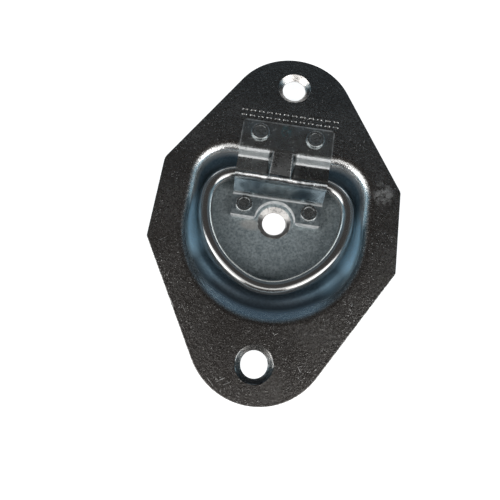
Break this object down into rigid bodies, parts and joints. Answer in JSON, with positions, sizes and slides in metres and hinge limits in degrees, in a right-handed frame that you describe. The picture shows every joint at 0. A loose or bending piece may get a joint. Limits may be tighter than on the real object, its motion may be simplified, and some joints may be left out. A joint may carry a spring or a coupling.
{
  "type": "recessed tie-down ring",
  "caption": "Stamped steel pan with a drawn recess, a wire D-ring that folds flat into it, and a riveted strap over the ring's bar; screws flush into a deck or wall.",
  "frame": {"origin": "midway between the two flange screw holes, on the flange's underside (the face that lies on the deck)", "axes": "+Z out of the deck, towards the ring; +Y along the plate, towards the strap; +X across the plate"},
  "size_m": [0.0808, 0.1206, 0.0144],
  "materials": {
    "zinc_pan": "bright zinc plate, slightly blue, fine spangle and handling scratches",
    "zinc_ring": "bright zinc plate on drawn wire, glossy",
    "zinc_strap": "bright zinc plate",
    "zinc_rivet": "bright zinc plate, pressed head"
  },
  "bodies": {
    "anchor": {"pan": "zinc_pan", "strap": "zinc_strap", "rivet_upper_left": "zinc_rivet", "rivet_upper_right": "zinc_rivet", "rivet_lower_left": "zinc_rivet", "rivet_lower_right": "zinc_rivet"},
    "ring": {"d_ring": "zinc_ring"}
  },
  "joints": [
    {"name": "ring_hinge", "type": "hinge", "parent": "anchor", "child": "ring", "pos_m": [0, 0.01525, -0.00385], "axis": [-1, 0, 0], "range_deg": [0, 95]}
  ]
}
